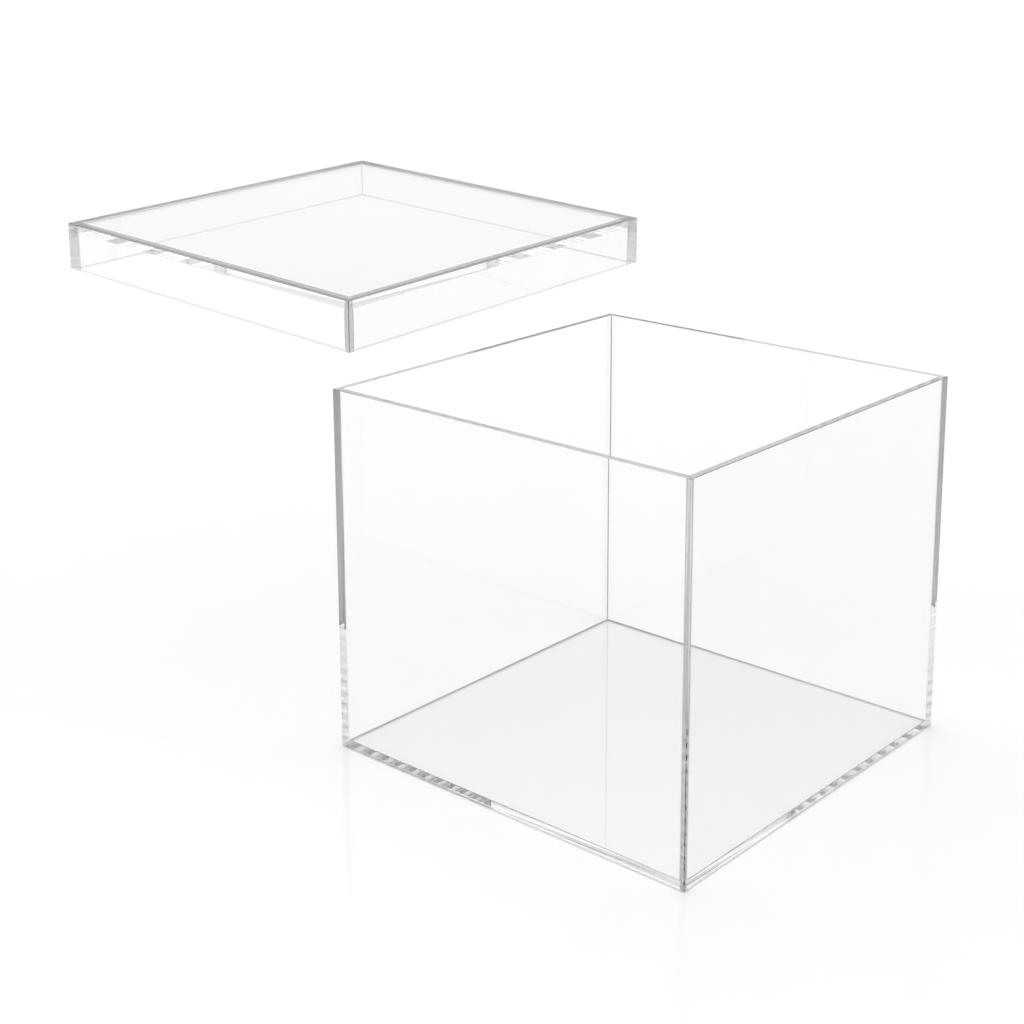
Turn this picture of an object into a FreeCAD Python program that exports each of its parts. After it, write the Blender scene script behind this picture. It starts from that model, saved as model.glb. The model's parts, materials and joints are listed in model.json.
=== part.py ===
"""Clear acrylic display cube: an open-topped box and a lift-off lid that fits over its rim.

Each of the two is a ring of four mitred sheets round one closing panel, joined by thin
films of clear cement. Millimetres, +Z up, origin at the centre of the box's underside.
"""
import FreeCAD, Part
import math
import os

# Box
BOX_SIDE = 305.0        # outside width and depth
BOX_HEIGHT = 265.0      # table to rim
BOX_SHEET = 5.0

# Lid
LID_SHEET = 8.0
LID_HEIGHT = 37.5       # outside, top face to skirt edge
LID_CLEARANCE = 1.5     # gap on every side between skirt and box wall
LID_SIDE = BOX_SIDE + 2 * (LID_SHEET + LID_CLEARANCE)

# The lid's rest place: held up beside the box, its front right lower corner here, and
# tipped so that this corner is the lowest
LID_CORNER = (-156.4, -132.1, 285.7)
LID_TIP_X = 2.7         # degrees about +X, after LID_TIP_Y
LID_TIP_Y = 3.06        # degrees about +Y

# Finish of the sheets
EDGE_BREAK = 0.3        # scraped along the long edges of every sheet
CORNER_BREAK = 0.6      # taken off the four upright outer corners
CEMENT = 0.1            # thickness of the cement films
BEAD = 0.75             # legs of the cement bead along each upright inner corner

CORNERS = ("front_right", "back_right", "back_left", "front_left")
SIDES = ("front", "right", "back", "left")


def prism(points, height):
    """Upright solid on a closed outline of (x, y) points at z = 0."""
    outline = [FreeCAD.Vector(x, y, 0) for x, y in points]
    face = Part.Face(Part.makePolygon(outline + outline[:1]))
    return face.extrude(FreeCAD.Vector(0, 0, height))


def break_level_edges(solid, levels):
    """Chamfer the edges that lie at these heights, but not those that end on a mitre."""
    def is_long(edge):
        centre = edge.CenterOfMass
        level = all(abs(v.Z - centre.z) < 1e-6 for v in edge.Vertexes)
        on_mitre = all(abs(abs(v.X) - abs(v.Y)) < 2 * CEMENT for v in edge.Vertexes)
        return level and not on_mitre and any(abs(centre.z - z) < 1e-6 for z in levels)

    return solid.makeChamfer(EDGE_BREAK, [edge for edge in solid.Edges if is_long(edge)])


def front_sheet(side, sheet, height, seam_height):
    """Mitred front sheet of a ring, with a seam edge across it where the panel's bond ends."""
    half = side / 2
    gap = CEMENT / math.sqrt(2)   # along X, from the corner's diagonal to the mitre face
    corner_x = (side - CORNER_BREAK - gap) / 2
    corner_y = (side - CORNER_BREAK + gap) / 2
    inner_y = half - sheet
    right = [
        (half - CORNER_BREAK, -half),
        (corner_x, -corner_y),
        (inner_y - gap, -inner_y),
    ]
    left = [(-x, y) for x, y in reversed(right)]
    wall = break_level_edges(prism(right + left, height), (0, height))
    lower = Part.makeBox(side, side, seam_height, FreeCAD.Vector(-half, -side, 0))
    return wall.cut(lower).fuse(wall.common(lower))


def corner_film(side, sheet, height, bead_span):
    """Cement in the front right mitre, with a bead in the inner corner between two heights."""
    inner = side / 2 - sheet
    start = (inner - CEMENT) * math.sqrt(2)
    length = (side - CORNER_BREAK) / math.sqrt(2) - start
    film = Part.makeBox(
        length, CEMENT, height - 2 * EDGE_BREAK, FreeCAD.Vector(start, -CEMENT / 2, EDGE_BREAK)
    )
    film.rotate(FreeCAD.Vector(0, 0, 0), FreeCAD.Vector(0, 0, 1), -45)
    cavity = Part.makeBox(side, side, height, FreeCAD.Vector(inner - side, -inner, 0))
    low, high = bead_span
    bead = prism([(inner, -inner), (inner, BEAD - inner), (inner - BEAD, -inner)], high - low)
    bead.translate(FreeCAD.Vector(0, 0, low))
    return film.cut(cavity).fuse(bead)


def closing_panel(side, sheet):
    """Square panel that fills the ring, with its level edges broken."""
    width = side - 2 * sheet - 2 * CEMENT
    panel = Part.makeBox(width, width, sheet, FreeCAD.Vector(-width / 2, -width / 2, 0))
    level = [e for e in panel.Edges if abs(e.Vertexes[0].Z - e.Vertexes[-1].Z) < 1e-6]
    return panel.makeChamfer(EDGE_BREAK, level)


def panel_film(side, sheet):
    """Cement round the closing panel."""
    outer = side - 2 * sheet
    inner = outer - 2 * CEMENT
    depth = sheet - 2 * EDGE_BREAK
    ring = [
        Part.makeBox(w, w, depth, FreeCAD.Vector(-w / 2, -w / 2, EDGE_BREAK))
        for w in (outer, inner)
    ]
    return ring[0].cut(ring[1])


def quarter_turn(shape, turns):
    """A copy turned about +Z by quarter turns, anticlockwise from above."""
    turned = shape.copy()
    turned.rotate(FreeCAD.Vector(0, 0, 0), FreeCAD.Vector(0, 0, 1), 90 * turns)
    return turned


def five_sided(side, sheet, height, panel_floor, seam_height, bead_span):
    """The pieces of one five-sided shell, standing at the origin, by the last part of their names."""
    wall = front_sheet(side, sheet, height, seam_height)
    film = corner_film(side, sheet, height, bead_span)
    pieces = {
        "panel": closing_panel(side, sheet),
        "panel_cement": panel_film(side, sheet),
    }
    for shape in pieces.values():
        shape.translate(FreeCAD.Vector(0, 0, panel_floor))
    for turns, name in enumerate(SIDES):
        pieces[name] = quarter_turn(wall, turns)
    for turns, name in enumerate(CORNERS):
        pieces[name + "_cement"] = quarter_turn(film, turns)
    return pieces


def box_nodes():
    """Walls round a base panel that lies flush with their lower edges."""
    seam_height = BOX_SHEET - EDGE_BREAK
    bead_span = (BOX_SHEET + CEMENT, BOX_HEIGHT - EDGE_BREAK)
    pieces = five_sided(BOX_SIDE, BOX_SHEET, BOX_HEIGHT, 0.0, seam_height, bead_span)
    nodes = {"box_base_panel": pieces["panel"], "box_base_cement": pieces["panel_cement"]}
    nodes |= {f"box_{name}_wall": pieces[name] for name in SIDES}
    nodes |= {f"box_{name}_cement": pieces[name + "_cement"] for name in CORNERS}
    return nodes


def lid_nodes():
    """Skirts round a top panel that lies flush with their upper edges."""
    panel_floor = LID_HEIGHT - LID_SHEET
    seam_height = panel_floor + EDGE_BREAK
    bead_span = (EDGE_BREAK, panel_floor - CEMENT)
    pieces = five_sided(LID_SIDE, LID_SHEET, LID_HEIGHT, panel_floor, seam_height, bead_span)
    nodes = {"lid_top_panel": pieces["panel"], "lid_top_cement": pieces["panel_cement"]}
    nodes |= {f"lid_{name}_skirt": pieces[name] for name in SIDES}
    nodes |= {f"lid_{name}_cement": pieces[name + "_cement"] for name in CORNERS}
    held = FreeCAD.Vector(*LID_CORNER)
    for shape in nodes.values():
        shape.translate(held - FreeCAD.Vector(LID_SIDE / 2, -LID_SIDE / 2, 0))
        shape.rotate(held, FreeCAD.Vector(0, 1, 0), LID_TIP_Y)
        shape.rotate(held, FreeCAD.Vector(1, 0, 0), LID_TIP_X)
    return nodes


def main():
    os.makedirs("parts", exist_ok=True)
    for name, shape in (box_nodes() | lid_nodes()).items():
        if not shape.isValid() or len(shape.Solids) != 1:
            raise ValueError(f"{name} is not one valid solid")
        shape.Solids[0].exportStep(f"parts/{name}.step")


main()
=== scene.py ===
"""Studio scene for the clear acrylic display cube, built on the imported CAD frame."""
import json
import math

import bpy
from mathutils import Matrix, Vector
from mathutils.bvhtree import BVHTree


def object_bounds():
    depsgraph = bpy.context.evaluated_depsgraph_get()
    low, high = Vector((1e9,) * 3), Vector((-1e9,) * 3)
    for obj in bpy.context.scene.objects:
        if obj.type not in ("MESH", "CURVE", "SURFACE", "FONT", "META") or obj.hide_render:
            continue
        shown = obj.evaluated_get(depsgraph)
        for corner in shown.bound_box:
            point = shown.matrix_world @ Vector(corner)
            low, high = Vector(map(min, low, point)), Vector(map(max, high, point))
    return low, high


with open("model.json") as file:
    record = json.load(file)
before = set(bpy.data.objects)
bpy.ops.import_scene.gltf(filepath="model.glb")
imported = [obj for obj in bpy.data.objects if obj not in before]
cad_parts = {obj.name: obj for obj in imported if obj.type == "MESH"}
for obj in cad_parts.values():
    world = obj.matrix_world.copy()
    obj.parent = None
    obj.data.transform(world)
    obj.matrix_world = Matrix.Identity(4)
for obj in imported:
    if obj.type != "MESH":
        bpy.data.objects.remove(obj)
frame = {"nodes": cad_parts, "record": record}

CAD_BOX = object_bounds()

# Camera: a point on the lens axis, and the side, height and distance it is seen from
AIM = Vector((-0.0768, -0.0112, 0.3146))
AZIMUTH = math.radians(40.6)
ELEVATION = math.radians(12.52)
DISTANCE = 1.3
LENS = 64.2
SHIFT_X = -0.037
SHIFT_Y = -0.207
SENSOR_WIDTH = 36.0
FAR_CLIP = 100.0

ACRYLIC_IOR = 1.49
BLUE_LEAN = 1.001        # blue of every tint, as a part of its red and green

# Tints: what is left of the light at a face, where 1 is perfectly clear; some of them are painted
# shade, as marked
BOX_FACE_TINT = 0.985
LID_FACE_TINT = 0.985
# Painted shade: the right-hand sheets take a darker tint, so the right sides read greyer, as if in
# shade
RIGHT_FACE_PAINTED_SHADE_TINT = 0.955
# The scraped edges' roughness and relief are real; their grey tints are painted shade that darkens
# the rims, the lid's more than the box's
BOX_EDGE_PAINTED_SHADE_TINT = 0.5
LID_EDGE_PAINTED_SHADE_TINT = 0.25
BEAD_TINT = 0.5
PANEL_BOND_TINT = 1.0
# Grey tints on the side, near, far and lid bonds are painted shade: they darken the corner lines,
# the far corner most
SIDE_BOND_PAINTED_SHADE_TINT = 0.955
NEAR_BOND_PAINTED_SHADE_TINT = 0.87
FAR_BOND_PAINTED_SHADE_TINT = 0.72
LID_BOND_PAINTED_SHADE_TINT = 0.9

# Grain of the uneven finish (noise scale) and the roughness it wanders between
FACE_GRAIN = 30.0
FACE_ROUGHNESS = (0.0, 0.01)
EDGE_GRAIN = 400.0
EDGE_ROUGHNESS = (0.05, 0.15)
EDGE_BUMP = 0.1
EDGE_RELIEF = 0.0002

# A sheet's face and a cement film's face nearer than this are bonded
TOUCHING = 1e-5
# Faces of an upright sheet whose normal rises more steeply than this are scraped edges
LEVEL_FACE = 0.5

TABLE_RADIUS = 15.0
TABLE_GAP = 0.0002       # keeps the table's surface clear of the object's underside
TABLE_SIDES = 96
TABLE_GREY = 0.81
TABLE_ROUGHNESS = 0.12

# Greys of the studio from straight down (0) to straight up (1), as a part of its strength
STUDIO_STRENGTH = 1.6
DIM_SIDE = (
    (0.0, 0.1), (0.27, 0.44), (0.295, 0.36), (0.32, 0.9), (0.35, 0.76), (0.375, 0.72),
    (0.5, 0.7), (0.56, 0.62), (0.75, 0.62), (0.87, 0.5), (0.9, 1.0),
)
BRIGHT_SIDE = (
    (0.0, 0.62), (0.6, 0.62), (0.65, 0.58), (0.7, 0.45), (0.85, 0.45), (0.89, 1.0), (1.0, 1.0),
)
# Cosine of the level angle from the bright side's middle where the dim side takes over
BRIGHT_SIDE_EDGES = (0.3, 0.65)

KEY_STRENGTH = 0.4
KEY_SPREAD = math.radians(50)
KEY_AIM = Vector((0.75, -0.35, -1.0))

BOUNCES = 160            # inside the sheets
CLEAR_LAYERS = 64        # bonded faces that one ray may pass


def make_camera():
    data = bpy.data.cameras.new("camera")
    data.lens = LENS
    data.sensor_width = SENSOR_WIDTH
    data.shift_x = SHIFT_X
    data.shift_y = SHIFT_Y
    data.clip_end = FAR_CLIP
    camera = bpy.data.objects.new("camera", data)
    bpy.context.scene.collection.objects.link(camera)
    level = math.cos(ELEVATION)
    away = Vector((math.sin(AZIMUTH) * level, -math.cos(AZIMUTH) * level, math.sin(ELEVATION)))
    camera.location = AIM + away * DISTANCE
    camera.rotation_euler = (-away).to_track_quat("-Z", "Y").to_euler()
    bpy.context.scene.camera = camera


def grey(level):
    """A grey that leans very slightly to blue, as thick acrylic does."""
    return (level, level, level * BLUE_LEAN, 1)


def new_material(name):
    """An empty node material: the material, its tree, and its output's surface socket."""
    material = bpy.data.materials.new(name)
    material.use_nodes = True
    tree = material.node_tree
    tree.nodes.clear()
    output = tree.nodes.new("ShaderNodeOutputMaterial")
    return material, tree, output.inputs["Surface"]


def clear_acrylic(name, tint, roughness, grain, bump=0.0):
    """Clear acrylic whose roughness wanders over a noise of this grain."""
    material, tree, surface = new_material(name)
    shader = tree.nodes.new("ShaderNodeBsdfPrincipled")
    shader.inputs["Base Color"].default_value = grey(tint)
    shader.inputs["IOR"].default_value = ACRYLIC_IOR
    shader.inputs["Transmission Weight"].default_value = 1.0
    place = tree.nodes.new("ShaderNodeTexCoord")
    noise = tree.nodes.new("ShaderNodeTexNoise")
    noise.inputs["Scale"].default_value = grain
    spread = tree.nodes.new("ShaderNodeMapRange")
    spread.inputs["To Min"].default_value = roughness[0]
    spread.inputs["To Max"].default_value = roughness[1]
    tree.links.new(place.outputs["Object"], noise.inputs["Vector"])
    tree.links.new(noise.outputs["Fac"], spread.inputs["Value"])
    tree.links.new(spread.outputs["Result"], shader.inputs["Roughness"])
    if bump:
        relief = tree.nodes.new("ShaderNodeBump")
        relief.inputs["Strength"].default_value = bump
        relief.inputs["Distance"].default_value = EDGE_RELIEF
        tree.links.new(noise.outputs["Fac"], relief.inputs["Height"])
        tree.links.new(relief.outputs["Normal"], shader.inputs["Normal"])
    tree.links.new(shader.outputs["BSDF"], surface)
    return material


def clear_bond(name, tint):
    """Where cement joins two sheets light goes straight on, because both bend it alike; a grey
    tint below 1 darkens it there as painted shade.
    """
    material, tree, surface = new_material(name)
    shader = tree.nodes.new("ShaderNodeBsdfTransparent")
    shader.inputs["Color"].default_value = grey(tint)
    tree.links.new(shader.outputs["BSDF"], surface)
    return material


def polished(name, tint):
    return clear_acrylic(name, tint, FACE_ROUGHNESS, FACE_GRAIN)


def scraped(name, tint):
    return clear_acrylic(name, tint, EDGE_ROUGHNESS, EDGE_GRAIN, EDGE_BUMP)


def search_tree(names):
    """One search tree over the faces of these nodes."""
    points, faces = [], []
    for name in names:
        mesh = frame["nodes"][name].data
        start = len(points)
        points += [v.co.copy() for v in mesh.vertices]
        faces += [[start + i for i in p.vertices] for p in mesh.polygons]
    return BVHTree.FromPolygons(points, faces)


def bond_place(cement):
    """Which bond of a look a cement film takes: round the panel, or in one of the mitres."""
    if cement in ("box_base_cement", "lid_top_cement"):
        return "panel_bond"
    if cement.endswith("_front_right_cement"):
        return "near_bond"
    if cement.endswith("_back_left_cement"):
        return "far_bond"
    return "side_bond"


def dress_films(films, sheets, look):
    """Give cement films their bond, and the bead's finish where they touch no sheet."""
    tree = search_tree(sheets)
    for name in films:
        mesh = frame["nodes"][name].data
        mesh.materials.clear()
        mesh.materials.append(look[bond_place(name)])
        mesh.materials.append(look["bead"])
        for polygon in mesh.polygons:
            free = tree.find_nearest(polygon.center)[3] > TOUCHING
            polygon.material_index = 1 if free else 0


def dress_sheets(sheets, films, look):
    """Give sheets polished faces (the right-hand ones darker, as painted shade), scraped edges,
    and bonds where they touch a cement film.
    """
    places = {}
    for name in films:
        places.setdefault(bond_place(name), []).append(name)
    trees = {place: search_tree(names) for place, names in places.items()}
    for name in sheets:
        mesh = frame["nodes"][name].data
        mesh.materials.clear()
        # Right-hand sheets get the darker tint, which is painted shade
        mesh.materials.append(look["right_face" if "_right_" in name else "face"])
        mesh.materials.append(look["edge"])
        for place in trees:
            mesh.materials.append(look[place])
        upright = not name.endswith("_panel")
        for polygon in mesh.polygons:
            scraped_edge = upright and abs(polygon.normal.z) > LEVEL_FACE
            polygon.material_index = 1 if scraped_edge else 0
            for index, tree in enumerate(trees.values(), start=2):
                if tree.find_nearest(polygon.center)[3] < TOUCHING:
                    polygon.material_index = index


def dress(body, look):
    """Give every piece of a body its materials, taken from a look."""
    members = frame["record"]["behaviour"]["bodies"][body]
    films = [n for n in members if n.endswith("_cement")]
    sheets = [n for n in members if not n.endswith("_cement")]
    dress_films(films, sheets, look)
    dress_sheets(sheets, films, look)


def light_path_test(tree, tests):
    """1 for rays whose depths pass every (output, operation, limit) test, else 0."""
    path = tree.nodes.new("ShaderNodeLightPath")
    result = None
    for output, operation, limit in tests:
        test = tree.nodes.new("ShaderNodeMath")
        test.operation = operation
        test.inputs[1].default_value = limit
        tree.links.new(path.outputs[output], test.inputs[0])
        if result is None:
            result = test.outputs[0]
        else:
            both = tree.nodes.new("ShaderNodeMath")
            both.operation = "MULTIPLY"
            tree.links.new(result, both.inputs[0])
            tree.links.new(test.outputs[0], both.inputs[1])
            result = both.outputs[0]
    return result


def make_table():
    """A glossy white table, which light that has bounced about inside the sheets looks past."""
    mesh = bpy.data.meshes.new("table")
    rim = []
    for i in range(TABLE_SIDES):
        turn = math.tau * i / TABLE_SIDES
        rim.append((TABLE_RADIUS * math.cos(turn), TABLE_RADIUS * math.sin(turn), 0))
    mesh.from_pydata(rim, [], [list(range(TABLE_SIDES))])
    table = bpy.data.objects.new("table", mesh)
    table.location.z = CAD_BOX[0][2] - TABLE_GAP
    bpy.context.scene.collection.objects.link(table)
    material, tree, surface = new_material("white_table")
    shader = tree.nodes.new("ShaderNodeBsdfPrincipled")
    shader.inputs["Base Color"].default_value = (TABLE_GREY, TABLE_GREY, TABLE_GREY, 1)
    shader.inputs["Roughness"].default_value = TABLE_ROUGHNESS
    absent = tree.nodes.new("ShaderNodeBsdfTransparent")
    bounced = light_path_test(
        tree, (("Glossy Depth", "GREATER_THAN", 1.5), ("Diffuse Depth", "LESS_THAN", 0.5))
    )
    mix = tree.nodes.new("ShaderNodeMixShader")
    tree.links.new(bounced, mix.inputs["Fac"])
    tree.links.new(shader.outputs["BSDF"], mix.inputs[1])
    tree.links.new(absent.outputs["BSDF"], mix.inputs[2])
    tree.links.new(mix.outputs["Shader"], surface)
    mesh.materials.append(material)


def grey_ramp(tree, factor, stops):
    """A ramp of greys over factor, as (place, grey) stops."""
    ramp = tree.nodes.new("ShaderNodeValToRGB")
    tree.links.new(factor, ramp.inputs["Fac"])
    elements = ramp.color_ramp.elements
    elements.remove(elements[1])
    for i, (place, level) in enumerate(stops):
        stop = elements.new(place) if i else elements[0]
        stop.position = place
        stop.color = (level, level, level, 1)
    return ramp.outputs["Color"]


def brightness_of_side(tree, direction):
    """1 for directions on the bright side of the studio, 0 for those on the dim side."""
    level = tree.nodes.new("ShaderNodeVectorMath")
    level.operation = "MULTIPLY"
    level.inputs[1].default_value = (1, 1, 0)
    tree.links.new(direction, level.inputs[0])
    unit = tree.nodes.new("ShaderNodeVectorMath")
    unit.operation = "NORMALIZE"
    tree.links.new(level.outputs["Vector"], unit.inputs[0])
    towards = tree.nodes.new("ShaderNodeVectorMath")
    towards.operation = "DOT_PRODUCT"
    towards.inputs[1].default_value = (-math.sin(AZIMUTH), math.cos(AZIMUTH), 0)
    tree.links.new(unit.outputs["Vector"], towards.inputs[0])
    side = tree.nodes.new("ShaderNodeMapRange")
    side.interpolation_type = "SMOOTHSTEP"
    side.inputs["From Min"].default_value = BRIGHT_SIDE_EDGES[0]
    side.inputs["From Max"].default_value = BRIGHT_SIDE_EDGES[1]
    tree.links.new(towards.outputs["Value"], side.inputs["Value"])
    return side.outputs["Result"]


def make_world():
    """White behind the object; a soft overhead light and grey surroundings for everything else."""
    world = bpy.data.worlds.new("studio")
    bpy.context.scene.world = world
    world.use_nodes = True
    tree = world.node_tree
    tree.nodes.clear()
    output = tree.nodes.new("ShaderNodeOutputWorld")
    place = tree.nodes.new("ShaderNodeTexCoord")
    split = tree.nodes.new("ShaderNodeSeparateXYZ")
    tree.links.new(place.outputs["Generated"], split.inputs[0])
    height = tree.nodes.new("ShaderNodeMapRange")
    height.inputs["From Min"].default_value = -1.0
    tree.links.new(split.outputs["Z"], height.inputs["Value"])
    tone = tree.nodes.new("ShaderNodeMix")
    tone.data_type = "RGBA"
    # sockets 6 and 7 are the node's two colours
    tree.links.new(brightness_of_side(tree, place.outputs["Generated"]), tone.inputs["Factor"])
    tree.links.new(grey_ramp(tree, height.outputs["Result"], DIM_SIDE), tone.inputs[6])
    tree.links.new(grey_ramp(tree, height.outputs["Result"], BRIGHT_SIDE), tone.inputs[7])
    studio = tree.nodes.new("ShaderNodeBackground")
    studio.inputs["Strength"].default_value = STUDIO_STRENGTH
    tree.links.new(tone.outputs[2], studio.inputs["Color"])
    backdrop = tree.nodes.new("ShaderNodeBackground")
    backdrop.inputs["Color"].default_value = (1, 1, 1, 1)
    straight = light_path_test(
        tree, (("Glossy Depth", "LESS_THAN", 0.5), ("Diffuse Depth", "LESS_THAN", 0.5))
    )
    mix = tree.nodes.new("ShaderNodeMixShader")
    tree.links.new(straight, mix.inputs["Fac"])
    tree.links.new(studio.outputs["Background"], mix.inputs[1])
    tree.links.new(backdrop.outputs["Background"], mix.inputs[2])
    tree.links.new(mix.outputs["Shader"], output.inputs["Surface"])


def make_key_light():
    """A weak, very soft sun from behind on the left, for the faint shadow on the table."""
    data = bpy.data.lights.new("key", "SUN")
    data.energy = KEY_STRENGTH
    data.angle = KEY_SPREAD
    lamp = bpy.data.objects.new("key", data)
    lamp.rotation_euler = KEY_AIM.to_track_quat("-Z", "Y").to_euler()
    bpy.context.scene.collection.objects.link(lamp)


def set_up_render():
    """Enough bounces for light to find its way out of the sheets, and no softening of it."""
    scene = bpy.context.scene
    scene.view_settings.view_transform = "Standard"
    scene.cycles.max_bounces = BOUNCES
    scene.cycles.transmission_bounces = BOUNCES
    scene.cycles.glossy_bounces = BOUNCES
    scene.cycles.transparent_max_bounces = CLEAR_LAYERS
    scene.cycles.blur_glossy = 0.0


make_camera()

panel_bond = clear_bond("panel_bond", PANEL_BOND_TINT)
# Painted shade: the right-hand sheets of box and lid share one darker tint
right_face = polished("acrylic_right_face", RIGHT_FACE_PAINTED_SHADE_TINT)
bead = scraped("cement_bead", BEAD_TINT)
dress("box", {
    "face": polished("acrylic_box_face", BOX_FACE_TINT),
    "right_face": right_face,
    "bead": bead,
    # The box edge's grey tint is painted shade on the rims
    "edge": scraped("acrylic_box_edge_painted_shade", BOX_EDGE_PAINTED_SHADE_TINT),
    "panel_bond": panel_bond,
    "side_bond": clear_bond("box_side_bond_painted_shade", SIDE_BOND_PAINTED_SHADE_TINT),
    "near_bond": clear_bond("box_near_bond_painted_shade", NEAR_BOND_PAINTED_SHADE_TINT),
    "far_bond": clear_bond("box_far_bond_painted_shade", FAR_BOND_PAINTED_SHADE_TINT),
})
# One painted-shade grey for all of the lid's mitres
lid_bond_painted_shade = clear_bond("lid_bond_painted_shade", LID_BOND_PAINTED_SHADE_TINT)
dress("lid", {
    "face": polished("acrylic_lid_face", LID_FACE_TINT),
    "right_face": right_face,
    "bead": bead,
    "edge": scraped("acrylic_lid_edge_painted_shade", LID_EDGE_PAINTED_SHADE_TINT),
    "panel_bond": panel_bond,
    "side_bond": lid_bond_painted_shade,
    "near_bond": lid_bond_painted_shade,
    "far_bond": lid_bond_painted_shade,
})
make_table()
make_world()
make_key_light()
set_up_render()
